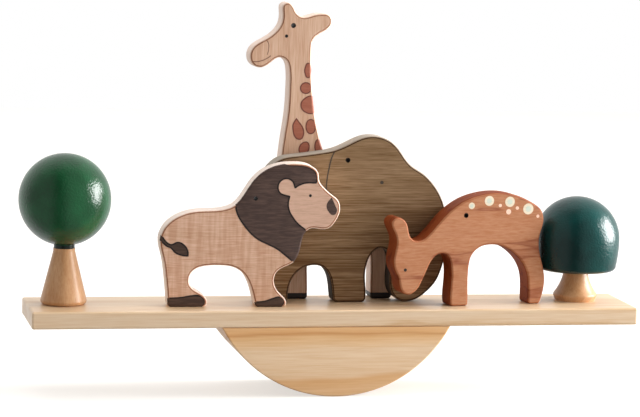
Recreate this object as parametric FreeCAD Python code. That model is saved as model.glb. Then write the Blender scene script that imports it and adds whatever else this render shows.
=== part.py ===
import FreeCAD, Part
import math
import os

# Stacking balance game: a plank glued on a curved rocker, with four flat wooden
# animals and two turned trees that stand loose on it.
# Millimetres. The origin is the rocker's lowest point on the floor, halfway across
# the plank. X runs along the plank, Y away from the player, Z up.

# Plank
PLANK_LENGTH = 340.0
PLANK_WIDTH = 54.5
PLANK_THICKNESS = 9.5
PLANK_EDGE_ROUND = 1.2

# Rocker: a segment of a disc, as wide as the plank
ROCKER_RADIUS = 72.2
ROCKER_HEIGHT = 38.6
ROCKER_EDGE_BEVEL = 0.6
PLANK_SHIFT = 2.1  # from the rocker's middle to the plank's middle

# Animals: sawn from one thickness of board, with the sawn edges rounded over
ANIMAL_THICKNESS = 13.0
ANIMAL_EDGE_ROUND = 1.2
ANIMAL_HOLE_DIAMETER = 2.3

# Rows of animals across the plank, from front to back: lion and deer, elephant, giraffe
ELEPHANT_FRONT = 0.3  # front face of the elephant, behind the plank's middle line
ROW_GAP = 0.3  # between the elephant and the giraffe
LION_TURN = -2.4  # degrees, its head end towards the player
LION_CLEARANCE = 1.2 # from its back face to the elephant's front, at the rump
DEER_TURN = 8.0  # degrees, its hindquarters away from the player
DEER_CLEARANCE = 3.8 # from its back face to the elephant's front, at the trunk

# Places along the plank, from the plank's middle to each animal's own middle
LION_PLACE = -60.0
ELEPHANT_PLACE = -13.0
GIRAFFE_PLACE = 6.2
DEER_FROM_END = 79.8  # from the plank's right end

# Ball tree
BALL_DIAMETER = 50.6
BALL_COLLAR_DIAMETER = 11.5
BALL_COLLAR_HEIGHT = 1.4  # from the trunk's top to the ball's lowest point
BALL_TREE_FROM_END = 20.2
BALL_TREE_BACK = 2.0  # behind the plank's middle line
BALL_TRUNK_HEIGHT = 31.0
BALL_TRUNK_FOOT_DIAMETER = 25.4
BALL_TRUNK_NECK_DIAMETER = 12.0
BALL_TRUNK_NECK_HEIGHT = 1.6
BALL_TRUNK_FOOT_ROUND = 2.4

# Dome tree
DOME_DIAMETER = 48.4
DOME_SKIRT_HEIGHT = 17.6
DOME_RIM_DIAMETER = 45.6
DOME_RIM_ROUND = 3.0
DOME_TREE_FROM_END = 27.4
DOME_TREE_BACK = 5.0
DOME_TRUNK_HEIGHT = 17.5
DOME_TRUNK_FOOT_DIAMETER = 25.2
DOME_TRUNK_TOP_DIAMETER = 13.4
DOME_TRUNK_FOOT_HEIGHT = 3.4
DOME_TRUNK_FOOT_BEVEL = 1.4
DOME_TRUNK_SHOULDER_ROUND = 1.6
DOME_TRUNK_FLARE = 1.2  # how far the side curves in from a straight cone

# Each trunk ends in a spigot that is glued into a blind bore in its crown
SPIGOT_DIAMETER = 6.0
SPIGOT_LENGTH = 10.0
SPIGOT_CHAMFER = 0.6
SPIGOT_CLEARANCE = 0.1
BORE_END_CLEARANCE = 1.0
DRILL_TIP_SLOPE = 31.0  # degrees, of the cone that a drill leaves

# Outlines of the animals, seen from the front: pairs of distance along the animal
# from its own middle and height above its feet. Each outline runs anticlockwise,
# from the first sole to the belly, the second sole, the head and the back.
LION_SOLES = [[(-34.2, 0), (-13.8, 0)], [(14.4, 0), (30.6, 0)]]
LION_BELLY = [
    (-13.8, 0), (-12.5, 3.2), (-14.6, 6.4), (-19.2, 9.2), (-22.3, 12.6), (-22.3, 17.0),
    (-19.3, 20.8), (-14.0, 22.6), (-6.4, 23.0), (1.0, 22.2), (6.6, 19.0), (10.2, 13.8),
    (12.4, 7.6), (14.4, 0),
]
LION_CHEST = [
    (30.6, 0), (31.3, 3.2), (28.8, 6.4), (25.5, 10.4), (24.3, 15.0), (26.0, 19.6),
    (30.8, 22.6), (35.0, 25.0), (37.4, 28.8), (39.1, 35.6), (41.0, 41.2),
]
LION_FACE = [
    (44.2, 43.6), (48.8, 43.4), (54.0, 43.8), (57.8, 47.6), (60.1, 53.2), (59.2, 59.0),
    (54.9, 62.8), (50.4, 66.9), (48.3, 70.0),
]
LION_MANE = [
    (47.5, 74.6), (43.6, 78.2), (36.4, 79.6), (27.4, 79.0), (19.4, 76.3), (12.6, 70.8),
    (7.0, 62.6), (2.2, 56.8),
]
LION_BACK = [
    (-4.0, 54.2), (-13.0, 53.4), (-22.0, 52.6), (-30.2, 49.6), (-36.2, 44.6),
    (-39.2, 36.6), (-37.4, 27.0), (-35.8, 17.0), (-34.8, 8.0), (-34.2, 0),
]
LION_HOLE = (13.2, 60.1)
LION_PAW_ROUND = 2.2

ELEPHANT_SOLES = [[(-29.6, 0), (-11.8, 0)], [(14.2, 0), (32.2, 0)]]
ELEPHANT_BELLY = [
    (-11.8, 0), (-11.4, 7.8), (-9.1, 14.2), (-4.6, 18.8), (1.6, 20.9), (6.6, 20.3),
    (10.4, 16.9), (12.6, 11.0), (14.2, 0),
]
ELEPHANT_TRUNK = [
    (32.2, 0), (32.6, 7.0), (32.0, 14.6), (33.0, 22.2), (36.2, 28.2), (40.8, 30.4),
    (44.6, 28.2), (46.2, 21.6), (45.8, 12.6), (47.0, 5.6), (50.6, 1.5), (56.2, 0.3),
    (61.5, 1.5), (67.0, 5.2), (72.2, 10.8), (75.8, 18.6), (78.0, 29.0), (78.6, 40.0),
]
ELEPHANT_HEAD = [
    (77.4, 50.0), (74.4, 59.2), (69.5, 66.8), (62.8, 73.0), (56.7, 76.9), (52.1, 82.2),
    (47.4, 88.2), (41.8, 91.9), (35.2, 93.4), (28.6, 92.5), (20.0, 88.6), (12.0, 85.4),
]
ELEPHANT_BACK = [
    (3.0, 83.8), (-8.0, 82.4), (-17.6, 80.5), (-23.0, 76.4), (-28.0, 68.6), (-31.4, 57.0),
    (-32.8, 44.0), (-32.4, 30.0), (-30.8, 15.0), (-29.6, 0),
]
ELEPHANT_HOLE = (20.3, 79.9)
ELEPHANT_FOOT_ROUND = 2.6

GIRAFFE_SOLES = [[(-30.2, 0), (-17.4, 0)], [(19.1, 0), (31.2, 0)]]
GIRAFFE_BELLY = [
    (-17.4, 0), (-17.6, 14.0), (-17.0, 30.0), (-12.2, 41.6), (-0.6, 46.4), (11.0, 42.6),
    (17.0, 31.4), (18.8, 14.0), (19.1, 0),
]
GIRAFFE_BACK = [
    (31.2, 0), (31.0, 14.0), (31.2, 28.0), (31.8, 42.0), (29.4, 55.4), (20.6, 66.0),
    (6.0, 73.4), (-5.4, 79.2), (-10.4, 84.6), (-12.9, 92.4), (-14.9, 100.7), (-16.4, 110.0),
    (-17.5, 120.4), (-18.2, 131.6), (-18.3, 140.4),
]
GIRAFFE_HEAD = [
    (-17.4, 145.6), (-13.2, 149.4), (-8.1, 153.1), (-7.0, 156.4), (-8.5, 159.4),
    (-12.4, 160.3), (-18.0, 159.4), (-23.6, 158.3), (-26.9, 160.2), (-29.0, 163.8),
    (-32.2, 166.2), (-34.8, 164.9), (-35.2, 160.6), (-36.0, 154.2), (-39.6, 149.3),
    (-45.7, 145.2), (-51.2, 141.4), (-53.1, 136.8), (-51.0, 131.2), (-47.0, 129.9),
    (-41.2, 132.7), (-36.2, 135.6), (-32.6, 134.0), (-30.8, 129.2),
]
GIRAFFE_CHEST = [
    (-30.5, 118.0), (-31.0, 106.0), (-32.6, 93.6), (-34.2, 80.0), (-34.6, 66.0),
    (-33.2, 48.0), (-31.4, 28.0), (-30.4, 12.0), (-30.2, 0),
]
GIRAFFE_HOLE = (-28.9, 153.5)
GIRAFFE_HOOF_ROUND = 1.6

DEER_SOLES = [[(-26.1, 0), (-15.9, 0)], [(20.8, 0), (27.6, 0)]]
DEER_BELLY = [
    (-15.9, 0), (-16.0, 12.0), (-15.8, 21.4), (-14.1, 28.4), (-9.6, 32.7), (-3.1, 34.2),
    (3.9, 33.2), (10.8, 29.4), (16.4, 23.8), (19.6, 17.4), (20.7, 9.0), (20.8, 0),
]
DEER_BACK = [
    (27.6, 0), (30.0, 7.2), (30.6, 15.0), (28.8, 23.2), (26.8, 31.0), (26.8, 38.6),
    (28.8, 46.8), (27.6, 52.6), (21.4, 57.6), (11.8, 61.8), (1.0, 63.4), (-9.2, 62.4),
    (-18.8, 59.4), (-27.4, 54.0), (-34.7, 46.8), (-40.2, 40.8),
]
DEER_EAR_AND_FACE = [
    (-45.1, 37.5), (-49.8, 38.1), (-52.1, 41.8), (-53.1, 46.0), (-56.0, 49.6),
    (-60.2, 50.4), (-62.7, 47.8), (-61.7, 43.8), (-59.5, 38.6), (-59.9, 32.4),
    (-60.9, 26.4), (-59.8, 21.0), (-57.9, 17.2), (-56.9, 12.6),
]
DEER_MUZZLE_AND_THROAT = [
    (-54.7, 8.3), (-51.1, 7.2), (-47.0, 9.4), (-43.2, 15.6), (-40.0, 22.6), (-36.8, 27.7),
    (-32.9, 29.8), (-29.2, 28.8), (-26.8, 24.0), (-26.2, 14.0), (-26.1, 0),
]
DEER_HOLE = (-18.5, 51.0)
DEER_HOOF_ROUND = 1.6

# Values that follow from the driving dimensions
PLANK_TOP = ROCKER_HEIGHT + PLANK_THICKNESS
PLANK_LEFT_END = PLANK_SHIFT - PLANK_LENGTH / 2
PLANK_FRONT = -PLANK_WIDTH / 2
DEER_PLACE = PLANK_LENGTH / 2 - DEER_FROM_END
GIRAFFE_FRONT = ELEPHANT_FRONT + ANIMAL_THICKNESS + ROW_GAP
BORE_DIAMETER = SPIGOT_DIAMETER + 2 * SPIGOT_CLEARANCE
BORE_DEPTH = SPIGOT_LENGTH + BORE_END_CLEARANCE

UP = FreeCAD.Vector(0, 0, 1)
BACKWARD = FreeCAD.Vector(0, 1, 0)


def vertical_point(along, height):
    """A point of an outline that stands in the plane Y = 0."""
    return FreeCAD.Vector(along, 0, height)


def line(start, end):
    return Part.LineSegment(vertical_point(*start), vertical_point(*end)).toShape()


def arc(start, middle, end):
    return Part.Arc(*[vertical_point(*point) for point in (start, middle, end)]).toShape()


def smooth_edge(stretch):
    """One smooth curve through the points of a stretch."""
    curve = Part.BSplineCurve()
    curve.interpolate(Points=[vertical_point(*point) for point in stretch])
    return curve.toShape()


def edges_at(solid, axis, level):
    """Edges that lie all at one level of the named axis."""
    lowest = axis + "Min"
    highest = axis + "Max"
    return [edge for edge in solid.Edges
            if abs(getattr(edge.BoundBox, lowest) - level) < 0.01
            and abs(getattr(edge.BoundBox, highest) - level) < 0.01]


def circle_edges(solid, radius):
    """Circular edges of one radius."""
    return [edge for edge in solid.Edges
            if not edge.Degenerated and isinstance(edge.Curve, Part.Circle)
            and abs(edge.Curve.Radius - radius) < 0.01]


def sawn_animal(soles, belly, rest, foot_round, hole):
    """Board sawn to an outline, rounded over front and back, with its drilled hole.

    Its front face is at Y = 0 and its feet are at Z = 0.
    """
    first_sole, second_sole = soles
    outline = Part.Wire([line(*first_sole), smooth_edge(belly),
                         line(*second_sole), smooth_edge(rest)])
    board = Part.Face(outline).extrude(BACKWARD * ANIMAL_THICKNESS)
    foot_corners = [edge for edge in edges_at(board, "Z", 0)
                    if edge.BoundBox.YLength > ANIMAL_THICKNESS / 2]
    board = board.makeFillet(foot_round, foot_corners)
    rims = edges_at(board, "Y", 0) + edges_at(board, "Y", ANIMAL_THICKNESS)
    board = board.makeFillet(ANIMAL_EDGE_ROUND, rims)
    drill = Part.makeCylinder(ANIMAL_HOLE_DIAMETER / 2, ANIMAL_THICKNESS,
                              vertical_point(*hole), BACKWARD)
    return board.cut(drill)


def stand_on_plank(solid, along_plank, y, turn=0.0):
    """Turn a piece about its upright axis and stand it on the plank."""
    placed = solid.copy()
    placed.rotate(FreeCAD.Vector(0, 0, 0), UP, turn)
    placed.translate(FreeCAD.Vector(PLANK_SHIFT + along_plank, y, PLANK_TOP))
    return placed


def turned_solid(edges):
    """Solid turned about the Z axis from a closed half profile."""
    return Part.Face(Part.Wire(edges)).revolve(FreeCAD.Vector(0, 0, 0), UP, 360)


def spigot(base_height):
    """Chamfered spigot on top of a trunk."""
    round_bar = Part.makeCylinder(SPIGOT_DIAMETER / 2, SPIGOT_LENGTH,
                                  vertical_point(0, base_height))
    end_edges = [edge for edge in round_bar.Edges
                 if edge.BoundBox.ZMin > base_height + SPIGOT_LENGTH - 0.01]
    return round_bar.makeChamfer(SPIGOT_CHAMFER, end_edges)


def spigot_bore(base_height):
    """Blind bore for the spigot, with the cone that a drill leaves at its end."""
    straight = Part.makeCylinder(BORE_DIAMETER / 2, BORE_DEPTH, vertical_point(0, base_height))
    cone_height = BORE_DIAMETER / 2 * math.tan(math.radians(DRILL_TIP_SLOPE))
    end_cone = Part.makeCone(BORE_DIAMETER / 2, 0, cone_height,
                             vertical_point(0, base_height + BORE_DEPTH))
    return straight.fuse(end_cone)


def make_plank():
    plank = Part.makeBox(PLANK_LENGTH, PLANK_WIDTH, PLANK_THICKNESS,
                         FreeCAD.Vector(PLANK_LEFT_END, PLANK_FRONT, ROCKER_HEIGHT))
    return plank.makeFillet(PLANK_EDGE_ROUND, plank.Edges)


def make_rocker():
    """Disc with bevelled rims, sawn off flat where it is glued under the plank."""
    disc = Part.makeCylinder(ROCKER_RADIUS, PLANK_WIDTH,
                             FreeCAD.Vector(0, PLANK_FRONT, ROCKER_RADIUS), BACKWARD)
    disc = disc.makeChamfer(ROCKER_EDGE_BEVEL, circle_edges(disc, ROCKER_RADIUS))
    sawn_off = Part.makeBox(2 * ROCKER_RADIUS, PLANK_WIDTH, 2 * ROCKER_RADIUS,
                            FreeCAD.Vector(-ROCKER_RADIUS, PLANK_FRONT, ROCKER_HEIGHT))
    return disc.cut(sawn_off)


def make_lion():
    rest = LION_CHEST + LION_FACE + LION_MANE + LION_BACK
    return sawn_animal(LION_SOLES, LION_BELLY, rest, LION_PAW_ROUND, LION_HOLE)


def make_elephant():
    rest = ELEPHANT_TRUNK + ELEPHANT_HEAD + ELEPHANT_BACK
    return sawn_animal(ELEPHANT_SOLES, ELEPHANT_BELLY, rest, ELEPHANT_FOOT_ROUND,
                       ELEPHANT_HOLE)


def make_giraffe():
    rest = GIRAFFE_BACK + GIRAFFE_HEAD + GIRAFFE_CHEST
    return sawn_animal(GIRAFFE_SOLES, GIRAFFE_BELLY, rest, GIRAFFE_HOOF_ROUND, GIRAFFE_HOLE)


def make_deer():
    rest = DEER_BACK + DEER_EAR_AND_FACE + DEER_MUZZLE_AND_THROAT
    return sawn_animal(DEER_SOLES, DEER_BELLY, rest, DEER_HOOF_ROUND, DEER_HOLE)


def front_of_turned(place, turn, neighbour_edge, clearance):
    """Y of a turned animal's front face at its middle.

    Its back face clears the elephant's front by the clearance, at the neighbour's edge.
    """
    slope = math.tan(math.radians(turn))
    thickness_across = ANIMAL_THICKNESS / math.cos(math.radians(turn))
    back_at_edge = ELEPHANT_FRONT - clearance
    return back_at_edge - thickness_across + (place - neighbour_edge) * slope


def stand_lion():
    rump_edge = ELEPHANT_PLACE + min(along for along, height in ELEPHANT_BACK)
    front = front_of_turned(LION_PLACE, LION_TURN, rump_edge, LION_CLEARANCE)
    return stand_on_plank(make_lion(), LION_PLACE, front, LION_TURN)


def stand_deer():
    trunk_edge = ELEPHANT_PLACE + max(along for along, height in ELEPHANT_TRUNK)
    front = front_of_turned(DEER_PLACE, DEER_TURN, trunk_edge, DEER_CLEARANCE)
    return stand_on_plank(make_deer(), DEER_PLACE, front, DEER_TURN)


def make_ball_trunk():
    foot = BALL_TRUNK_FOOT_DIAMETER / 2
    neck = BALL_TRUNK_NECK_DIAMETER / 2
    round_over = BALL_TRUNK_FOOT_ROUND
    corner = round_over * math.sqrt(0.5)
    neck_start = BALL_TRUNK_HEIGHT - BALL_TRUNK_NECK_HEIGHT
    profile = turned_solid([
        line((0, 0), (foot - round_over, 0)),
        arc((foot - round_over, 0), (foot - round_over + corner, round_over - corner),
            (foot, round_over)),
        line((foot, round_over), (neck, neck_start)),
        line((neck, neck_start), (neck, BALL_TRUNK_HEIGHT)),
        line((neck, BALL_TRUNK_HEIGHT), (0, BALL_TRUNK_HEIGHT)),
        line((0, BALL_TRUNK_HEIGHT), (0, 0)),
    ])
    return profile.fuse(spigot(BALL_TRUNK_HEIGHT)).removeSplitter()


def make_ball():
    """Ball on the short collar that it was turned with, bored for the spigot."""
    radius = BALL_DIAMETER / 2
    centre_height = BALL_TRUNK_HEIGHT + BALL_COLLAR_HEIGHT + radius
    ball = Part.makeSphere(radius, vertical_point(0, centre_height))
    collar = Part.makeCylinder(BALL_COLLAR_DIAMETER / 2, radius,
                               vertical_point(0, BALL_TRUNK_HEIGHT))
    return ball.fuse(collar).cut(spigot_bore(BALL_TRUNK_HEIGHT))


def make_dome_trunk():
    foot = DOME_TRUNK_FOOT_DIAMETER / 2
    top = DOME_TRUNK_TOP_DIAMETER / 2
    bevel = DOME_TRUNK_FOOT_BEVEL
    waist = ((foot + top) / 2 - DOME_TRUNK_FLARE,
             (DOME_TRUNK_FOOT_HEIGHT + DOME_TRUNK_HEIGHT) / 2)
    trunk = turned_solid([
        line((0, 0), (foot - bevel, 0)),
        line((foot - bevel, 0), (foot, DOME_TRUNK_FOOT_HEIGHT)),
        arc((foot, DOME_TRUNK_FOOT_HEIGHT), waist, (top, DOME_TRUNK_HEIGHT)),
        line((top, DOME_TRUNK_HEIGHT), (0, DOME_TRUNK_HEIGHT)),
        line((0, DOME_TRUNK_HEIGHT), (0, 0)),
    ])
    trunk = trunk.makeFillet(DOME_TRUNK_SHOULDER_ROUND, circle_edges(trunk, foot))
    return trunk.fuse(spigot(DOME_TRUNK_HEIGHT)).removeSplitter()


def make_dome():
    """Thimble-shaped crown: half a ball on a skirt that narrows to a rounded rim."""
    radius = DOME_DIAMETER / 2
    rim = DOME_RIM_DIAMETER / 2
    equator = DOME_TRUNK_HEIGHT + DOME_SKIRT_HEIGHT
    corner = radius * math.sqrt(0.5)
    dome = turned_solid([
        line((0, DOME_TRUNK_HEIGHT), (rim, DOME_TRUNK_HEIGHT)),
        line((rim, DOME_TRUNK_HEIGHT), (radius, equator)),
        arc((radius, equator), (corner, equator + corner), (0, equator + radius)),
        line((0, equator + radius), (0, DOME_TRUNK_HEIGHT)),
    ])
    dome = dome.makeFillet(DOME_RIM_ROUND, circle_edges(dome, rim))
    return dome.cut(spigot_bore(DOME_TRUNK_HEIGHT))


def build_pieces():
    """Every piece of the game where it stands, by name."""
    ball_tree_place = BALL_TREE_FROM_END - PLANK_LENGTH / 2
    dome_tree_place = PLANK_LENGTH / 2 - DOME_TREE_FROM_END
    return {
        "plank": make_plank(),
        "rocker": make_rocker(),
        "lion": stand_lion(),
        "elephant": stand_on_plank(make_elephant(), ELEPHANT_PLACE, ELEPHANT_FRONT),
        "giraffe": stand_on_plank(make_giraffe(), GIRAFFE_PLACE, GIRAFFE_FRONT),
        "deer": stand_deer(),
        "ball_tree_trunk": stand_on_plank(make_ball_trunk(), ball_tree_place, BALL_TREE_BACK),
        "ball_tree_crown": stand_on_plank(make_ball(), ball_tree_place, BALL_TREE_BACK),
        "dome_tree_trunk": stand_on_plank(make_dome_trunk(), dome_tree_place, DOME_TREE_BACK),
        "dome_tree_crown": stand_on_plank(make_dome(), dome_tree_place, DOME_TREE_BACK),
    }


os.makedirs("parts", exist_ok=True)
for name, piece in build_pieces().items():
    solid = piece.Solids[0]
    print(name, "volume", round(solid.Volume), "valid", solid.isValid())
    solid.exportStep("parts/" + name + ".step")
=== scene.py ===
import bpy
import math
from mathutils import Matrix, Vector


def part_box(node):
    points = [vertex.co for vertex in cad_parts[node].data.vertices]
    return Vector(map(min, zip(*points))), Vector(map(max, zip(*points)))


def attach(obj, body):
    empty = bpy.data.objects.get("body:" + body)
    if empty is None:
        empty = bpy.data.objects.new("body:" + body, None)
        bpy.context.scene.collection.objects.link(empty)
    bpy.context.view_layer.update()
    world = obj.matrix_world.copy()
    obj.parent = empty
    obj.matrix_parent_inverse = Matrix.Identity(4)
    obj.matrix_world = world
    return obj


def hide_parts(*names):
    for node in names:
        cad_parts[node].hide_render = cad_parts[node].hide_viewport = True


# Stacking balance game: a plank glued on a curved rocker carries four flat wooden
# animals and two turned trees. Metres, X along the plank, Y away from the player.
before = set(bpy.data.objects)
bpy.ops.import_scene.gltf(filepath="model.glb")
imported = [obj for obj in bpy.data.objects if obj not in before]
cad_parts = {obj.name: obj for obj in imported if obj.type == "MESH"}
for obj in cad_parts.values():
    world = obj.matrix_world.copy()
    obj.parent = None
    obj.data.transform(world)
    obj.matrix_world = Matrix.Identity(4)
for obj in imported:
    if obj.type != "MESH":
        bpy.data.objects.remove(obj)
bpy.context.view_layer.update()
bpy.ops.object.select_all(action="DESELECT")


# Rocker: the segment of a disc under the plank, sawn from pine, sanded and waxed.
# Its rings lie nearly level, so the front shows broad honey bands of late wood.
def colour(code):
    """Linear colour of an sRGB hex value."""
    parts = [int(code[i:i + 2], 16) / 255 for i in (1, 3, 5)]
    return [p / 12.92 if p <= 0.04045 else ((p + 0.055) / 1.055) ** 2.4 for p in parts] + [1.0]


def add(tree, kind, inputs, stops=(), **settings):
    """Adds a node with its settings; an input is a value, or a node and its output."""
    new = tree.nodes.new("ShaderNode" + kind)
    for name, value in settings.items():
        setattr(new, name, value)
    for name, value in inputs.items():
        if isinstance(value, tuple) and isinstance(value[0], bpy.types.Node):
            tree.links.new(value[0].outputs[value[1]], new.inputs[name])
        else:
            new.inputs[name].default_value = value
    for place, code in stops:
        if place not in (0, 1):
            new.color_ramp.elements.new(place)
    for element, (place, code) in zip(new.color_ramp.elements if stops else (), stops):
        element.position = place
        element.color = colour(code)
    return new


def bare_wood(name, along, rings_mm, rings, streak_mm, streak_dark, relief_mm, roughness,
              specular=0.5):
    """Sanded wood: wide rings and fine fibres, both drawn out along one axis. Gives the
    material and the node of its colour."""
    ring_stretch = 14
    streak_stretch = 26
    wood = bpy.data.materials.new(name)
    wood.use_nodes = True
    tree = wood.node_tree
    surface = tree.nodes["Principled BSDF"]
    place = add(tree, "TexCoord", {})
    ring_scale = [1000 / rings_mm] * 3
    ring_scale[along] /= ring_stretch
    ring_map = add(tree, "Mapping", {"Vector": (place, "Object"), "Scale": ring_scale})
    ring = add(tree, "TexNoise", {"Vector": (ring_map, 0), "Scale": 1.0, "Detail": 2.5,
                                  "Roughness": 0.5, "Distortion": 0.35})
    ring_tone = add(tree, "ValToRGB", {"Fac": (ring, 0)}, stops=rings)
    streak_scale = [1000 / streak_mm] * 3
    streak_scale[along] /= streak_stretch
    streak_map = add(tree, "Mapping", {"Vector": (place, "Object"), "Scale": streak_scale})
    streak = add(tree, "TexNoise", {"Vector": (streak_map, 0), "Scale": 1.0, "Detail": 3.0,
                                    "Roughness": 0.6})
    streak_tone = add(tree, "ValToRGB", {"Fac": (streak, 0)},
                      stops=[(0.0, streak_dark), (0.3, streak_dark), (0.66, "#FFFFFF"),
                             (1.0, "#FFFFFF")])
    tone = add(tree, "Mix", {0: 1.0, 6: (ring_tone, 0), 7: (streak_tone, 0)},
               data_type="RGBA", blend_type="MULTIPLY")
    bump = add(tree, "Bump", {"Height": (streak, 0), "Strength": 0.5,
                              "Distance": relief_mm / 1000})
    tree.links.new(tone.outputs[2], surface.inputs["Base Color"])
    tree.links.new(bump.outputs[0], surface.inputs["Normal"])
    surface.inputs["Roughness"].default_value = roughness
    surface.inputs["Specular IOR Level"].default_value = specular
    surface.inputs["IOR"].default_value = 1.48
    return wood, tone


def finish_solid(node, finish):
    """Puts a material on every slot of a CAD node."""
    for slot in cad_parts[node].material_slots:
        slot.material = finish


rocker_pine, pine_tone = bare_wood(
    "waxed_pine_rocker", 0, 30,
    [(0.0, "#E2C09A"), (0.45, "#E8C9A6"), (0.6, "#ECCFAE"), (1.0, "#E6C49E")],
    1.1, "#F4EADC", 0.02, 0.45)
pine_tree = rocker_pine.node_tree
# The bands fill 40 mm of height, lean across the rocker and climb towards the dome tree,
# the lower ones more. They sway by a few millimetres in waves about 70 mm long.
bottom_slope, slope_per_height = -0.09, 1.75
lean_across = 0.22
sway = 0.012
bands_height = 0.040
rocker_place = add(pine_tree, "TexCoord", {})
rocker_wave = add(pine_tree, "TexNoise", {"Vector": (rocker_place, "Object"), "Scale": 14.0,
                                          "Detail": 1.0})
rocker_xyz = add(pine_tree, "SeparateXYZ", {0: (rocker_place, "Object")})
rocker_slope = add(pine_tree, "Math", {0: (rocker_xyz, 2), 1: slope_per_height,
                                       2: bottom_slope}, operation="MULTIPLY_ADD")
rocker_climb = add(pine_tree, "Math", {0: (rocker_xyz, 0), 1: (rocker_slope, 0)},
                   operation="MULTIPLY")
rocker_level = add(pine_tree, "Math", {0: (rocker_xyz, 2), 1: (rocker_climb, 0)},
                   operation="ADD")
rocker_depth = add(pine_tree, "Math", {0: (rocker_xyz, 1), 1: lean_across,
                                       2: (rocker_level, 0)}, operation="MULTIPLY_ADD")
rocker_sway = add(pine_tree, "Math", {0: (rocker_wave, 0), 1: sway, 2: (rocker_depth, 0)},
                  operation="MULTIPLY_ADD")
rocker_band = add(pine_tree, "MapRange", {0: (rocker_sway, 0), 1: 0.0, 2: bands_height})
rocker_bands = add(pine_tree, "ValToRGB", {"Fac": (rocker_band, 0)}, stops=[
    (0.0, "#FAEEDC"), (0.1, "#FAEAD4"), (0.27, "#F4DEC0"), (0.33, "#FFFDFA"),
    (0.66, "#FFFFFF"), (0.74, "#FCF2E0"), (0.83, "#FAE9CF"), (0.87, "#E6C49A"),
    (0.9, "#F8E2C2"), (1.0, "#F8E4C8")])
rocker_tone = add(pine_tree, "Mix", {0: 1.0, 6: (pine_tone, 2), 7: (rocker_bands, 0)},
                  data_type="RGBA", blend_type="MULTIPLY")
pine_tree.links.new(rocker_tone.outputs[2],
                    pine_tree.nodes["Principled BSDF"].inputs["Base Color"])
finish_solid("rocker", rocker_pine)


# Plank: planed pine glued on the rocker's flat top, its edges eased and lightly waxed.
# It has no broad bands, only faint rings along its length, and shines a little more.
plank_pine = bare_wood(
    "waxed_pine_plank", 0, 11,
    [(0.0, "#D8B894"), (0.42, "#E0C19E"), (0.47, "#D7B48C"), (0.5, "#E1C4A2"),
     (0.62, "#E4CAAC"), (1.0, "#DCBC98")],
    0.9, "#F4EADC", 0.02, 0.36, specular=0.75)[0]
finish_solid("plank", plank_pine)
plank_low, plank_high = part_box("plank")
plank_middle = (plank_low[0] + plank_high[0]) / 2
plank_top = plank_high[2]


# Lion: sawn from 13 mm beech board, its rims rounded over and sanded. The mane, tail,
# paws, pale face, nose and eye are printed in ink on both faces, the first three over the
# rims too.
def ink_faces(node, over_rims=False):
    """Front and back of a sawn animal as a sheet, with or without its rounded rims."""
    # How closely a facet has to face across the board, 1 being square to it.
    facing = 0.2 if over_rims else 0.99999
    bpy.ops.object.select_all(action="DESELECT")
    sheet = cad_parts[node].copy()
    sheet.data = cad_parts[node].data.copy()
    sheet.name = node + "_faces"
    sheet.parent = None
    bpy.context.scene.collection.objects.link(sheet)
    sheet.select_set(True)
    bpy.context.view_layer.objects.active = sheet
    areas = {}
    for face in sheet.data.polygons:
        key = tuple(round(v, 3) for v in face.normal)
        areas[key] = areas.get(key, 0) + face.area
    across = Vector(max(areas, key=areas.get)).normalized()
    bpy.ops.object.mode_set(mode="EDIT")
    bpy.ops.mesh.select_all(action="SELECT")
    bpy.ops.mesh.remove_doubles(threshold=1e-6)
    bpy.ops.mesh.select_all(action="DESELECT")
    bpy.ops.mesh.select_mode(type="FACE")
    bpy.ops.object.mode_set(mode="OBJECT")
    for face in sheet.data.polygons:
        face.select = abs(face.normal.dot(across)) < facing
    bpy.ops.object.mode_set(mode="EDIT")
    bpy.ops.mesh.delete(type="FACE")
    bpy.ops.mesh.select_all(action="SELECT")
    bpy.ops.mesh.dissolve_limited(angle_limit=math.radians(0.6))
    bpy.ops.object.mode_set(mode="OBJECT")
    return sheet


def animal_place(along, front, turn):
    """Stands an animal's own plane on the plank, by its middle and its front face in mm
    and its turn in degrees."""
    spot = Vector((plank_middle + along / 1000, front / 1000, plank_top))
    return Matrix.Translation(spot) @ Matrix.Rotation(math.radians(turn), 4, "Z")


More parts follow.
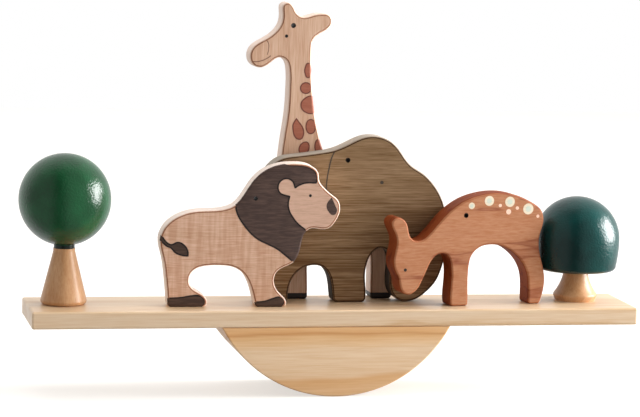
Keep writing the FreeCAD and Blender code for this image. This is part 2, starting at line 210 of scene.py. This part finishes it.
def sawn_sides(wood, tone, place, hole, side_colour_and_light, blend, rim_line):
    """Tints the sawn sides of a board, with painted light on some boards, the line where its
    rims begin, and painted shade in its hole. Gives the node of the colour."""
    # Cosines of the slope against the flat faces, where each tint starts and is full.
    side_from, side_full = 0.9, 0.45
    line_from, line_full = 0.997, 0.985
    line_fades, line_ends = 0.9, 0.8
    # Distances from the middle of the hole in metres, where its painted shade starts and is
    # full.
    hole_shade_edge, hole_shade_full = 0.0015, 0.0013
    tree = wood.node_tree
    coords = add(tree, "TexCoord", {})
    across = place.to_3x3() @ Vector((0, -1, 0))
    lean = add(tree, "VectorMath", {0: (coords, "Normal"), 1: tuple(across)},
               operation="DOT_PRODUCT")
    flat = add(tree, "Math", {0: (lean, "Value")}, operation="ABSOLUTE")
    side = add(tree, "MapRange", {0: (flat, 0), 1: side_from, 2: side_full})
    sides_coloured_and_lit = add(tree, "Mix", {0: (side, 0), 6: tone, 7: side_colour_and_light}, data_type="RGBA",
                 blend_type=blend)
    line_start = add(tree, "MapRange", {0: (flat, 0), 1: line_from, 2: line_full})
    line_end = add(tree, "MapRange", {0: (flat, 0), 1: line_ends, 2: line_fades})
    line = add(tree, "Math", {0: (line_start, 0), 1: (line_end, 0)}, operation="MULTIPLY")
    lined = add(tree, "Mix", {0: (line, 0), 6: (sides_coloured_and_lit, 2), 7: colour(rim_line)},
                data_type="RGBA", blend_type="MULTIPLY")
    middle = place @ Vector((hole[0] / 1000, 0, hole[1] / 1000))
    from_hole = add(tree, "VectorMath", {0: (coords, "Object"), 1: tuple(middle)},
                    operation="SUBTRACT")
    around = add(tree, "VectorMath", {0: (from_hole, 0), 1: tuple(across)},
                 operation="CROSS_PRODUCT")
    reach = add(tree, "VectorMath", {0: (around, 0)}, operation="LENGTH")
    # Painted shade: the bore and a thin ring round it are darkened.
    hole_shade = add(tree, "MapRange", {0: (reach, "Value"), 1: hole_shade_edge, 2: hole_shade_full})
    hole_shaded = add(tree, "Mix", {0: (hole_shade, 0), 6: (lined, 2), 7: colour("#1C120C")},
                data_type="RGBA")
    tree.links.new(hole_shaded.outputs[2], tree.nodes["Principled BSDF"].inputs["Base Color"])
    return hole_shaded


def area(points, corners=()):
    """Closed outline in millimetres, smooth but for its numbered corners."""
    return ("area", points, (0, True, corners))


def dot(along, height, radius):
    """Round spot, in millimetres."""
    return ("dot", (along, height), radius)


def stroke(points, width):
    """Smooth open line, in millimetres."""
    return ("stroke", points, (width, False, ()))


def outline(shape, width):
    """A line along the edge of an area."""
    return ("stroke", shape[1], (width, True, shape[2][2]))


def stamp(shape):
    """A block in the shape's outline, lying flat and deep enough for both faces."""
    kind, points, detail = shape
    block_depth = 0.03
    bpy.ops.object.select_all(action="DESELECT")
    if kind == "dot":
        bpy.ops.mesh.primitive_cylinder_add(
            vertices=28, radius=detail / 1000, depth=block_depth,
            location=(points[0] / 1000, points[1] / 1000, 0))
        bpy.ops.object.transform_apply()
    else:
        line = bpy.data.curves.new("outline", "CURVE")
        line.dimensions = "2D"
        line.resolution_u = 8
        line.extrude = block_depth / 2
        line.fill_mode = "BOTH" if kind == "area" else "NONE"
        spline = line.splines.new("BEZIER")
        spline.bezier_points.add(len(points) - 1)
        width, closed, corners = detail
        spline.use_cyclic_u = closed
        for number, (point, (along, height)) in enumerate(zip(spline.bezier_points, points)):
            point.co = (along / 1000, height / 1000, 0)
            point.handle_left_type = "VECTOR" if number in corners else "AUTO"
            point.handle_right_type = "VECTOR" if number in corners else "AUTO"
        block = bpy.data.objects.new("outline", line)
        bpy.context.scene.collection.objects.link(block)
        block.select_set(True)
        bpy.context.view_layer.objects.active = block
        bpy.ops.object.convert(target="MESH")
    block = bpy.context.object
    if kind == "stroke":
        wall = block.modifiers.new("width", "SOLIDIFY")
        wall.thickness = width / 1000
        wall.offset = 0
        bpy.ops.object.modifier_apply(modifier="width")
    bpy.ops.object.mode_set(mode="EDIT")
    bpy.ops.mesh.select_all(action="SELECT")
    bpy.ops.mesh.remove_doubles(threshold=1e-7)
    bpy.ops.mesh.normals_make_consistent(inside=False)
    bpy.ops.object.mode_set(mode="OBJECT")
    return block


def printed(name, sheet, place, shapes, finish, film_mm):
    """Prints the shapes on both faces of an animal, as a film of ink in one piece."""
    blocks = [stamp(shape) for shape in shapes]
    bpy.ops.object.select_all(action="DESELECT")
    for block in blocks:
        block.select_set(True)
    bpy.context.view_layer.objects.active = blocks[0]
    if len(blocks) > 1:
        bpy.ops.object.join()
    stamps = bpy.context.object
    stand_up = Matrix.Rotation(math.radians(90), 4, "X")
    stamps.data.transform(place @ stand_up)
    film = sheet.copy()
    film.data = sheet.data.copy()
    film.name = name
    film.data.name = name
    bpy.context.scene.collection.objects.link(film)
    bpy.ops.object.select_all(action="DESELECT")
    film.select_set(True)
    bpy.context.view_layer.objects.active = film
    coat = film.modifiers.new("coat", "SOLIDIFY")
    coat.thickness = film_mm / 1000
    coat.offset = 1
    bpy.ops.object.modifier_apply(modifier="coat")
    cut = film.modifiers.new("cut", "BOOLEAN")
    cut.operation = "INTERSECT"
    cut.solver = "EXACT"
    # Stamps of lines run into themselves, which needs the slower cut.
    cut.use_self = shapes[0][0] == "stroke"
    cut.object = stamps
    bpy.ops.object.modifier_apply(modifier="cut")
    bpy.data.objects.remove(stamps)
    # The solid's own normals are dropped, because a film shades like a bead with them.
    bpy.ops.mesh.customdata_custom_splitnormals_clear()
    bpy.ops.object.shade_smooth_by_angle(angle=math.radians(30))
    film.data.materials.clear()
    film.data.materials.append(finish)
    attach(film, "root")


def ink(name, code, worn, roughness):
    """Screen-printed ink on wood: matt, and a little thin in streaks along the plank, about
    a millimetre across and 8 mm long."""
    print_ink = bpy.data.materials.new(name)
    print_ink.use_nodes = True
    tree = print_ink.node_tree
    surface = tree.nodes["Principled BSDF"]
    place = add(tree, "TexCoord", {})
    fibres = add(tree, "Mapping", {"Vector": (place, "Object"), "Scale": [120, 900, 1100]})
    noise = add(tree, "TexNoise", {"Vector": (fibres, 0), "Scale": 1.0, "Detail": 3.0,
                                   "Roughness": 0.65})
    tone = add(tree, "ValToRGB", {"Fac": (noise, 0)},
               stops=[(0.0, code), (0.42, code), (0.72, worn), (1.0, worn)])
    bump = add(tree, "Bump", {"Height": (noise, 0), "Strength": 0.4, "Distance": 0.00002})
    tree.links.new(tone.outputs[0], surface.inputs["Base Color"])
    tree.links.new(bump.outputs[0], surface.inputs["Normal"])
    surface.inputs["Roughness"].default_value = roughness
    surface.inputs["IOR"].default_value = 1.5
    return print_ink


lion_beech, lion_tone = bare_wood(
    "sanded_beech_lion", 0, 7,
    [(0.0, "#D8B498"), (0.42, "#DFBAA0"), (0.62, "#E6C2AA"), (1.0, "#DCB69C")],
    0.55, "#E6D4C8", 0.03, 0.6, specular=0.3)
# Rays cross the fibres as faint upright bands two millimetres wide.
lion_tree = lion_beech.node_tree
lion_spot = add(lion_tree, "TexCoord", {})
lion_rays = add(lion_tree, "Mapping", {"Vector": (lion_spot, "Object"),
                                       "Scale": [480, 300, 45]})
lion_fleck = add(lion_tree, "TexNoise", {"Vector": (lion_rays, 0), "Scale": 1.0,
                                         "Detail": 2.0})
lion_fleck_tone = add(lion_tree, "ValToRGB", {"Fac": (lion_fleck, 0)},
                      stops=[(0.0, "#EEE4DC"), (0.38, "#F0E6DF"), (0.62, "#FFFFFF"),
                             (1.0, "#FFFFFF")])
lion_face_tone = add(lion_tree, "Mix", {0: 1.0, 6: (lion_tone, 2), 7: (lion_fleck_tone, 0)},
                     data_type="RGBA", blend_type="MULTIPLY")
lion_place = animal_place(-60.0, -13.32, -2.4)
# The sides are screened paler: partly the pale end grain of beech, partly painted sheen, the
# light they catch from the white room behind.
sawn_sides(lion_beech, (lion_face_tone, 2), lion_place, (13.2, 60.1), colour("#CCC0B8"),
           "SCREEN", "#B89C8A")
finish_solid("lion", lion_beech)

lion_faces = ink_faces("lion", over_rims=True)
lion_flats = ink_faces("lion")
mane_edge_ink = ink("mane_edge_ink", "#180D0A", "#241610", 0.6)
mane_ink = ink("mane_ink", "#44312B", "#60493F", 0.65)
paw_ink = ink("paw_ink", "#402C22", "#5A4236", 0.65)
pale_ink = ink("pale_face_ink", "#D8B098", "#C49A82", 0.5)
black_ink = ink("black_ink", "#171210", "#241C18", 0.5)
printed("lion_pale_face", lion_flats, lion_place, [
    area([(42.5, 41.6), (39.6, 43.0), (36.2, 45.6), (33.2, 49.4), (30.9, 53.8), (30.4, 58.0),
          (29.5, 60.6), (25.0, 62.6), (24.4, 67.0), (26.0, 71.2), (30.0, 72.4), (34.2, 71.0),
          (37.0, 69.0), (41.0, 70.4), (50.5, 71.0), (66, 66), (66, 44), (50, 40)],
         corners=(0, 14, 15, 16, 17))], pale_ink, 0.03)
mane_shape = [
    area([(2.0, 56.9), (2.8, 53.1), (4.3, 49.5), (7.2, 45.3), (10.8, 41.1), (15.1, 37.6),
          (20.1, 35.1), (25.1, 32.7), (29.5, 29.5), (33.8, 26.0), (36.8, 23.6), (48, 30),
          (43.6, 41.2), (40.1, 43.7), (36.9, 46.2), (34.0, 49.7), (31.7, 53.9), (31.2, 58.1),
          (31.9, 61.4), (29.6, 61.9), (26.6, 63.2), (25.3, 66.6), (26.7, 69.9), (30.0, 71.3),
          (33.3, 69.8), (34.8, 66.2), (37.1, 67.7), (40.6, 68.9), (46.4, 69.0), (46.9, 71.4),
          (46.1, 74.4), (42.9, 77.1), (36.4, 78.4), (31.0, 78.7), (25.0, 80.6), (18, 90),
          (4, 78), (-4, 62)],
         corners=(0, 10, 11, 12, 18, 25, 28, 34, 35, 36, 37))]
paw_shapes = [
    area([(-42, 4.8), (-32.8, 4.9), (-26.5, 5.3), (-20.9, 6.2), (-17.2, 6.3), (-14.6, 4.9),
          (-13.7, 3.0), (-14.4, 1.2), (-16.2, -1.0), (-16.5, -6), (-42, -6)],
         corners=(0, 8, 9, 10)),
    area([(8, 2.4), (14.5, 2.7), (19.4, 3.2), (23.7, 4.6), (27.0, 5.5), (29.4, 4.9),
          (30.2, 3.2), (29.6, 1.2), (28.0, -1.0), (27.6, -6), (8, -6)],
         corners=(0, 8, 9, 10))]
tail_shape = [
    area([(-38.1, 39.1), (-36.3, 36.6), (-34.3, 34.9), (-32.9, 34.4), (-29.1, 35.7),
          (-26.0, 34.3), (-23.8, 31.1), (-23.6, 28.3), (-26.9, 28.7), (-30.4, 30.1),
          (-32.2, 32.0), (-33.2, 32.9), (-35.1, 33.6), (-37.3, 35.4), (-41.0, 38.0),
          (-41.0, 42.0)], corners=(7, 14, 15))]
nose_shape = [
    area([(55.3, 61.1), (52.6, 56.8), (53.8, 53.0), (56.6, 51.2), (58.4, 53.3), (57.2, 56.9)],
         corners=(0,))]
# The mane, paws and tail are edged with a dark line, which stays on the flat faces.
edge_line = 0.9
printed("lion_mane", lion_faces, lion_place, mane_shape, mane_ink, 0.05)
printed("lion_paws", lion_faces, lion_place, paw_shapes, paw_ink, 0.05)
printed("lion_tail", lion_faces, lion_place, tail_shape, paw_ink, 0.05)
for print_name, print_shapes in (("lion_mane_line", mane_shape), ("lion_paw_lines", paw_shapes),
                                 ("lion_tail_line", tail_shape)):
    printed(print_name, lion_flats, lion_place,
            [outline(field, edge_line) for field in print_shapes], mane_edge_ink,
            0.08)
printed("lion_nose", lion_flats, lion_place, nose_shape, mane_ink, 0.06)
printed("lion_eye", lion_flats, lion_place, [dot(43.4, 61.9, 0.8)], black_ink,
        0.06)


# Elephant: sawn from the same thickness of walnut, rims rounded over, oiled. Its rings
# show as nearly level dark stripes. An ear line and an eye are printed on both faces.
elephant_walnut, elephant_tone = bare_wood(
    "oiled_walnut_elephant", 0, 6,
    [(0.0, "#84694E"), (0.38, "#8F7354"), (0.58, "#9B7F61"), (1.0, "#8D6F52")],
    0.5, "#C4B6A2", 0.04, 0.75, specular=0.25)
elephant_place = animal_place(-13.0, 0.3, 0.0)
# Dark rings about a millimetre apart stripe the legs and belly. Above them they fade to a
# quarter.
stripes_faint, stripes_full = plank_top + 0.066, plank_top + 0.048
walnut_tree = elephant_walnut.node_tree
walnut_spot = add(walnut_tree, "TexCoord", {})
walnut_map = add(walnut_tree, "Mapping", {"Vector": (walnut_spot, "Object"),
                                          "Scale": [16, 160, 1250],
                                          "Rotation": (0, math.radians(2.5), 0)})
walnut_rings = add(walnut_tree, "TexNoise", {"Vector": (walnut_map, 0), "Scale": 1.0,
                                             "Detail": 1.5, "Distortion": 0.2})
walnut_stripe = add(walnut_tree, "ValToRGB", {"Fac": (walnut_rings, 0)},
                    stops=[(0.0, "#FFFFFF"), (0.42, "#FFFFFF"), (0.58, "#D8CCBC"),
                           (1.0, "#C0B29E")])
walnut_xyz = add(walnut_tree, "SeparateXYZ", {0: (walnut_spot, "Object")})
walnut_fade = add(walnut_tree, "MapRange", {0: (walnut_xyz, 2), 1: stripes_faint,
                                            2: stripes_full, 3: 0.25, 4: 1.0})
elephant_striped = add(walnut_tree, "Mix", {0: (walnut_fade, 0), 6: (elephant_tone, 2),
                                            7: (walnut_stripe, 0)},
                       data_type="RGBA", blend_type="MULTIPLY")
# The sides: a painted highlight along the back, painted shade and some scorching in the arches.
side_shade_height, side_highlight_height = plank_top + 0.026, plank_top + 0.044
walnut_side_light_mask = add(walnut_tree, "MapRange", {0: (walnut_xyz, 2), 1: side_shade_height,
                                             2: side_highlight_height})
walnut_side_painted_light = add(walnut_tree, "ValToRGB", {"Fac": (walnut_side_light_mask, 0)},
                       stops=[(0.0, "#30241A"), (1.0, "#A89C8E")])
sawn_sides(elephant_walnut, (elephant_striped, 2), elephant_place, (20.3, 79.9),
           (walnut_side_painted_light, 0), "MIX", "#7A6654")
finish_solid("elephant", elephant_walnut)
elephant_faces = ink_faces("elephant")
ear_ink = ink("ear_line_ink", "#3A3026", "#4C4032", 0.6)
printed("elephant_ear_line", elephant_faces, elephant_place, [
    stroke([(13.4, 87.5), (12.8, 85.4), (10.9, 80.7), (9.7, 75.2), (8.8, 69.8), (8.4, 63.7),
            (8.6, 57.0)], 0.7)], ear_ink, 0.05)
printed("elephant_eye", elephant_faces, elephant_place, [dot(40.0, 67.5, 1.0)], ear_ink,
        0.05)


# Giraffe: sawn from the same thickness of beech with its fibres upright, sanded. Rust
# coloured spots, an eye and lines on the muzzle are printed on both faces, the spots over
# the rims too.
giraffe_beech, giraffe_tone = bare_wood(
    "sanded_beech_giraffe", 2, 6,
    [(0.0, "#CCA68A"), (0.42, "#D5B095"), (0.62, "#DEBCA2"), (1.0, "#D1AA90")],
    0.5, "#E6D4C8", 0.03, 0.5)
giraffe_place = animal_place(6.2, 13.6, 0.0)
# The sides are screened paler: partly the pale end grain of beech, partly painted sheen, the
# light they catch from the white room behind.
giraffe_sawn = sawn_sides(giraffe_beech, (giraffe_tone, 2), giraffe_place, (-28.9, 153.5),
                          colour("#CCAEA2"), "SCREEN", "#B89C8A")
# The hooves are dipped in black stain, 3.4 mm deep.
dip_edge, dip_full = plank_top + 0.0035, plank_top + 0.0033
giraffe_tree = giraffe_beech.node_tree
giraffe_spot = add(giraffe_tree, "TexCoord", {})
giraffe_xyz = add(giraffe_tree, "SeparateXYZ", {0: (giraffe_spot, "Object")})
giraffe_dip = add(giraffe_tree, "MapRange", {0: (giraffe_xyz, 2), 1: dip_edge, 2: dip_full})
giraffe_dipped = add(giraffe_tree, "Mix", {0: (giraffe_dip, 0), 6: (giraffe_sawn, 2),
                                           7: colour("#1A1210")}, data_type="RGBA")
giraffe_tree.links.new(giraffe_dipped.outputs[2],
                       giraffe_tree.nodes["Principled BSDF"].inputs["Base Color"])
finish_solid("giraffe", giraffe_beech)
giraffe_faces = ink_faces("giraffe", over_rims=True)
giraffe_flats = ink_faces("giraffe")
rust_edge_ink = ink("rust_edge_ink", "#6C382C", "#784434", 0.6)
rust_ink = ink("rust_ink", "#9C5842", "#A8664E", 0.6)
brown_ink = ink("brown_line_ink", "#7A5240", "#8C6450", 0.6)
spot_shapes = [
    area([(-20.0, 132.6), (-21.7, 130.2), (-21.7, 127.0), (-20.0, 124.6), (-18.3, 127.0),
          (-18.3, 130.2)]),
    area([(-24.1, 118.6), (-21.0, 121.8), (-18.0, 118.6), (-20.8, 115.8)]),
    area([(-23.6, 109.2), (-20.2, 113.8), (-15.0, 114.4), (-13.5, 105.4), (-20.0, 104.9)],
         corners=(2, 3)),
    area([(-26.0, 101.8), (-27.9, 97.2), (-24.0, 90.1), (-21.7, 93.8)], corners=(0,)),
    area([(-20.4, 97.2), (-17.9, 101.2), (-15.0, 97.3), (-17.7, 93.3)]),
    area([(-24.1, 84.0), (-20.2, 88.6), (-18.4, 86.4), (-21.4, 81.8)]),
    area([(-15.1, 85.8), (-12.9, 90.1), (-10.6, 84.4), (-13.0, 82.6)])]
spot_line = 0.7
printed("giraffe_spots", giraffe_faces, giraffe_place, spot_shapes, rust_ink,
        0.05)
printed("giraffe_spot_lines", giraffe_flats, giraffe_place,
        [outline(spot, spot_line) for spot in spot_shapes], rust_edge_ink,
        0.08)
printed("giraffe_eye", giraffe_flats, giraffe_place, [dot(-32.7, 147.6, 0.9)], black_ink,
        0.05)
printed("giraffe_muzzle_lines", giraffe_flats, giraffe_place, [
    stroke([(-52.4, 133.4), (-49.2, 133.2), (-45.8, 134.0), (-43.0, 135.4), (-41.3, 136.6)],
           0.5),
    stroke([(-44.6, 146.0), (-42.9, 143.7), (-42.6, 140.4), (-43.3, 137.2)], 0.4)],
        brown_ink, 0.05)


# Deer: sawn from the same thickness of cherry, rims rounded over, oiled. Cream dots with
# a grey middle, small pink dots and an eye are printed on both faces.
deer_cherry, deer_tone = bare_wood(
    "oiled_cherry_deer", 0, 12,
    [(0.0, "#A46C4C"), (0.4, "#AC7656"), (0.435, "#92583E"), (0.46, "#B07A58"),
     (0.6, "#B68260"), (1.0, "#A46848")],
    0.9, "#ECD6C6", 0.02, 0.68, specular=0.25)
deer_place = animal_place(90.2, -13.17, 8.0)
sawn_sides(deer_cherry, (deer_tone, 2), deer_place, (-18.5, 51.0), colour("#C48A54"),
           "MULTIPLY", "#F0E0D4")
finish_solid("deer", deer_cherry)
deer_faces = ink_faces("deer")
cream_ink = ink("cream_ink", "#E0D2B8", "#D6C6AA", 0.6)
grey_ink = ink("grey_ink", "#C7CDBE", "#C0C4B4", 0.6)
pink_ink = ink("pink_ink", "#F0C8B0", "#E8BCA4", 0.6)
deer_dots = [(-15.3, 56.3, 1.85), (-4.8, 58.9, 2.8), (7.7, 58.2, 2.9), (19.0, 54.0, 3.1)]
printed("deer_cream_dots", deer_faces, deer_place, [dot(*d) for d in deer_dots],
        cream_ink, 0.04)
grey_share = 0.55
printed("deer_grey_dots", deer_faces, deer_place,
        [dot(along, height, radius * grey_share) for along, height, radius in deer_dots],
        grey_ink, 0.07)
printed("deer_pink_dots", deer_faces, deer_place,
        [dot(1.9, 56.2, 0.95), dot(7.1, 52.6, 1.5), dot(12.3, 54.6, 1.0),
         dot(25.0, 49.8, 0.9)], pink_ink, 0.04)
printed("deer_eye", deer_faces, deer_place, [dot(-53.9, 21.2, 0.9)], black_ink,
        0.04)
# The sheets were only there to cut the films from.
for sheet in (lion_faces, lion_flats, elephant_faces, giraffe_faces, giraffe_flats,
              deer_faces):
    bpy.data.objects.remove(sheet)


# Tree trunks: turned from beech between centres, glued into the crowns by a spigot, and
# thinly lacquered. The fibres stand upright.
trunk_beech = bare_wood(
    "lacquered_beech_trunk", 2, 6,
    [(0.0, "#BC8A5E"), (0.42, "#C29468"), (0.62, "#CA9E74"), (1.0, "#BE8E62")],
    0.8, "#F0E0D0", 0.005, 0.42)[0]
trunk_surface = trunk_beech.node_tree.nodes["Principled BSDF"]
trunk_surface.inputs["Coat Weight"].default_value = 0.08
trunk_surface.inputs["Coat Roughness"].default_value = 0.2
finish_solid("ball_tree_trunk", trunk_beech)
finish_solid("dome_tree_trunk", trunk_beech)


# Tree crowns: a ball and a thimble-shaped dome, turned from beech and painted with gloss
# enamel, leaf green and dark teal, by brush. The enamel lies in fine ripples.
def gloss_enamel(name, deep, thin):
    """Brushed-on enamel: colour uneven in patches about 26 mm across, surface glossy with
    ripples a millimetre apart. Gives the material and the node of its colour."""
    enamel = bpy.data.materials.new(name)
    enamel.use_nodes = True
    tree = enamel.node_tree
    surface = tree.nodes["Principled BSDF"]
    place = add(tree, "TexCoord", {})
    cloud = add(tree, "TexNoise", {"Vector": (place, "Object"), "Scale": 38.0, "Detail": 2.5,
                                   "Roughness": 0.5})
    tone = add(tree, "ValToRGB", {"Fac": (cloud, 0)},
               stops=[(0.0, deep), (0.4, deep), (0.7, thin), (1.0, thin)])
    ripple = add(tree, "TexNoise", {"Vector": (place, "Object"), "Scale": 900.0,
                                    "Detail": 1.0})
    bump = add(tree, "Bump", {"Height": (ripple, 0), "Strength": 0.8, "Distance": 0.0002})
    tree.links.new(tone.outputs[0], surface.inputs["Base Color"])
    tree.links.new(bump.outputs[0], surface.inputs["Normal"])
    surface.inputs["Roughness"].default_value = 0.24
    surface.inputs["Specular IOR Level"].default_value = 0.45
    surface.inputs["IOR"].default_value = 1.5
    return enamel, tone


green_enamel, green_tone = gloss_enamel("leaf_green_enamel", "#0E3D21", "#195B35")
# Painted shade: the collar in the corner under the ball is darkened, as the ball shades it.
ball_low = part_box("ball_tree_crown")[0]
green_tree = green_enamel.node_tree
green_spot = add(green_tree, "TexCoord", {})
green_xyz = add(green_tree, "SeparateXYZ", {0: (green_spot, "Object")})
under_ball_shade_edge, under_ball_shade_full = ball_low[2] + 0.0026, ball_low[2] + 0.0016
green_under_ball_shade = add(green_tree, "MapRange", {0: (green_xyz, 2), 1: under_ball_shade_edge, 2: under_ball_shade_full})
green_with_painted_shade = add(green_tree, "Mix", {0: (green_under_ball_shade, 0), 6: (green_tone, 0),
                                       7: colour("#0C1A10")}, data_type="RGBA")
green_tree.links.new(green_with_painted_shade.outputs[2],
                     green_tree.nodes["Principled BSDF"].inputs["Base Color"])
finish_solid("ball_tree_crown", green_enamel)

# The dome is turned again here, with a skirt that curves in from the half ball without
# a crease. It keeps the solid's height, widest girth, rim and bore.
teal_enamel = gloss_enamel("dark_teal_enamel", "#032725", "#09413E")[0]
dome_low, dome_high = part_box("dome_tree_crown")
dome_x = (dome_low[0] + dome_high[0]) / 2
dome_y = (dome_low[1] + dome_high[1]) / 2
dome_radius = (dome_high[0] - dome_low[0]) / 2
dome_equator = dome_high[2] - dome_radius
skirt = dome_equator - dome_low[2]
rim_round, taper = 0.003, 0.0014
bore_radius, bore_depth, bore_tip = 0.0031, 0.011, 0.00186
last_ring = bore_radius / 50
skirt_steps, rim_steps = 16, 8
bpy.ops.object.select_all(action="DESELECT")
bpy.ops.mesh.primitive_uv_sphere_add(segments=128, ring_count=96, radius=dome_radius,
                                     location=(dome_x, dome_y, dome_equator))
dome_crown = bpy.context.object
dome_crown.name = "dome_crown"
bpy.ops.object.transform_apply()
bpy.ops.object.mode_set(mode="EDIT")
bpy.ops.mesh.select_all(action="SELECT")
bpy.ops.mesh.bisect(plane_co=(0, 0, dome_equator), plane_no=(0, 0, 1), clear_inner=True)
bpy.ops.mesh.select_mode(type="EDGE")
bpy.ops.mesh.select_all(action="DESELECT")
bpy.ops.mesh.select_non_manifold()
# The open edge is extruded down the skirt, round the rim, in to the bore and up to its
# tip, where the last small ring closes to a point.
skirt_rings = []
for step in range(1, skirt_steps + 1):
    fall = (skirt - rim_round) * step / skirt_steps
    skirt_rings.append((dome_radius - taper * (fall / (skirt - rim_round)) ** 2,
                        dome_equator - fall))
for step in range(1, rim_steps + 1):
    turn = math.radians(90 * step / rim_steps)
    skirt_rings.append((dome_radius - taper - rim_round + rim_round * math.cos(turn),
                        dome_low[2] + rim_round - rim_round * math.sin(turn)))
skirt_rings += [(bore_radius, dome_low[2]), (bore_radius, dome_low[2] + bore_depth),
                (last_ring, dome_low[2] + bore_depth + bore_tip)]
ring_out, ring_height = dome_radius, dome_equator
for next_out, next_height in skirt_rings:
    bpy.ops.mesh.extrude_region_move(
        TRANSFORM_OT_translate={"value": (0, 0, next_height - ring_height)})
    bpy.ops.transform.resize(value=(next_out / ring_out, next_out / ring_out, 1),
                             center_override=(dome_x, dome_y, next_height))
    ring_out, ring_height = next_out, next_height
bpy.ops.mesh.merge(type="CENTER")
bpy.ops.mesh.select_all(action="SELECT")
bpy.ops.mesh.normals_make_consistent(inside=False)
bpy.ops.object.mode_set(mode="OBJECT")
bpy.ops.object.shade_smooth_by_angle(angle=math.radians(40))
dome_crown.data.materials.append(teal_enamel)
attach(dome_crown, "root")
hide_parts("dome_tree_crown")


# Setting: a plain pale floor and soft studio light, with the camera where the game is
# seen a little from the left and from just above the plank. The floor is lit from below
# for the camera, as a light table is, so that shadows on it stay faint.
bpy.ops.mesh.primitive_plane_add(size=3.2, location=(0, 0.15, 0))
floor = bpy.context.object
floor.name = "floor"
floor.visible_glossy = False
floor_paint = bpy.data.materials.new("matt_white_floor")
floor_paint.use_nodes = True
floor_surface = floor_paint.node_tree.nodes["Principled BSDF"]
floor_surface.inputs["Base Color"].default_value = colour("#B0AFAD")
floor_surface.inputs["Roughness"].default_value = 0.9
floor_surface.inputs["Specular IOR Level"].default_value = 0.1
floor_surface.inputs["Emission Color"].default_value = colour("#FFFBF6")
glow_strength = 0.65
floor_ray = add(floor_paint.node_tree, "LightPath", {})
floor_glow = add(floor_paint.node_tree, "Math", {0: (floor_ray, "Is Camera Ray"),
                                                 1: glow_strength}, operation="MULTIPLY")
floor_paint.node_tree.links.new(floor_glow.outputs[0],
                                floor_surface.inputs["Emission Strength"])
floor.data.materials.append(floor_paint)

world = bpy.data.worlds.new("studio")
world.use_nodes = True
bpy.context.scene.world = world
sky = world.node_tree
backdrop = sky.nodes["Background"]
toward = add(sky, "TexCoord", {})
# The studio is white behind the game, dim in front of it, and dark only in an upright
# strip there, a little left of the middle. The camera itself sees it all white.
view_along, view_across = (0.203, 0.979, 0.0), (0.979, -0.203, 0.0)
white_starts, white_full = -0.35, 0.45
strip_middle, strip_edge, strip_ends = -0.14, 0.08, 0.34
strip_tone, front_tone = 0.04, 0.45
behind = add(sky, "VectorMath", {0: (toward, "Generated"), 1: view_along},
             operation="DOT_PRODUCT")
white_part = add(sky, "MapRange", {0: (behind, "Value"), 1: white_starts, 2: white_full},
                 interpolation_type="SMOOTHSTEP")
aside = add(sky, "VectorMath", {0: (toward, "Generated"), 1: view_across},
            operation="DOT_PRODUCT")
off_strip = add(sky, "Math", {0: (aside, "Value"), 1: -strip_middle}, operation="ADD")
off_strip_size = add(sky, "Math", {0: (off_strip, 0)}, operation="ABSOLUTE")
dim_part = add(sky, "MapRange", {0: (off_strip_size, 0), 1: strip_edge, 2: strip_ends,
                                 3: strip_tone, 4: front_tone},
               interpolation_type="SMOOTHSTEP")
studio_tone = add(sky, "Math", {0: (white_part, 0), 1: (dim_part, 0)}, operation="MAXIMUM")
seen = add(sky, "LightPath", {})
shown = add(sky, "Mix", {0: (seen, "Is Camera Ray"), 6: (studio_tone, 0),
                         7: (1.0, 1.0, 1.0, 1.0)}, data_type="RGBA")
sky.links.new(shown.outputs[2], backdrop.inputs["Color"])
backdrop.inputs["Strength"].default_value = 1.0

# Each softbox has its place, its size in metres, its watts, and whether gloss mirrors it.
# All of them point at the middle of the game.
game_middle = Vector((0, 0, 0.07))
softboxes = [
    ("tall_softbox_right", (1.35, -0.10, 0.40), (0.8, 0.85), 48.0, True),
    ("key_softbox_front_right", (1.2, -1.1, 0.85), (1.0, 0.9), 6.8, False),
    ("fill_softbox_front_left", (-1.1, -0.9, 0.25), (0.9, 0.8), 2.2, False),
    ("overhead_softbox", (0.1, 0.25, 1.7), (1.8, 1.4), 16.0, False),
]
for name, spot, size, power, mirrored in softboxes:
    lamp = bpy.data.lights.new(name, "AREA")
    lamp.shape = "RECTANGLE"
    lamp.size, lamp.size_y = size
    lamp.energy = power
    holder = bpy.data.objects.new(name, lamp)
    holder.location = spot
    aim = game_middle - Vector(spot)
    holder.rotation_euler = aim.to_track_quat("-Z", "Y").to_euler()
    holder.visible_glossy = mirrored
    bpy.context.scene.collection.objects.link(holder)

# The lens and the camera's place and turn were fitted to the view. The place is in metres
# from the middle of the plank's top, the turns are in radians.
lens = bpy.data.cameras.new("camera")
sensor_mm, picture_px, focal_px = 36, 640, 2835.31
lens.sensor_width = sensor_mm
lens.lens = sensor_mm * focal_px / picture_px
from_plank = (-0.32574, -1.53053, 0.24379)
yaw, pitch, roll = 0.20474, 0.12151, 0.025256
ahead = Vector((math.sin(yaw) * math.cos(pitch), math.cos(yaw) * math.cos(pitch),
                -math.sin(pitch)))
right = Vector((math.cos(yaw), -math.sin(yaw), 0))
up = right.cross(ahead)
rolled_right = math.cos(roll) * right + math.sin(roll) * up
rolled_up = -math.sin(roll) * right + math.cos(roll) * up
camera = bpy.data.objects.new("camera", lens)
camera_spot = (plank_middle + from_plank[0], from_plank[1], plank_top + from_plank[2])
camera_turn = Matrix((rolled_right, rolled_up, -ahead)).transposed().to_4x4()
camera.matrix_world = Matrix.Translation(camera_spot) @ camera_turn
bpy.context.scene.collection.objects.link(camera)
bpy.context.scene.camera = camera
bpy.context.scene.view_settings.view_transform = "Standard"
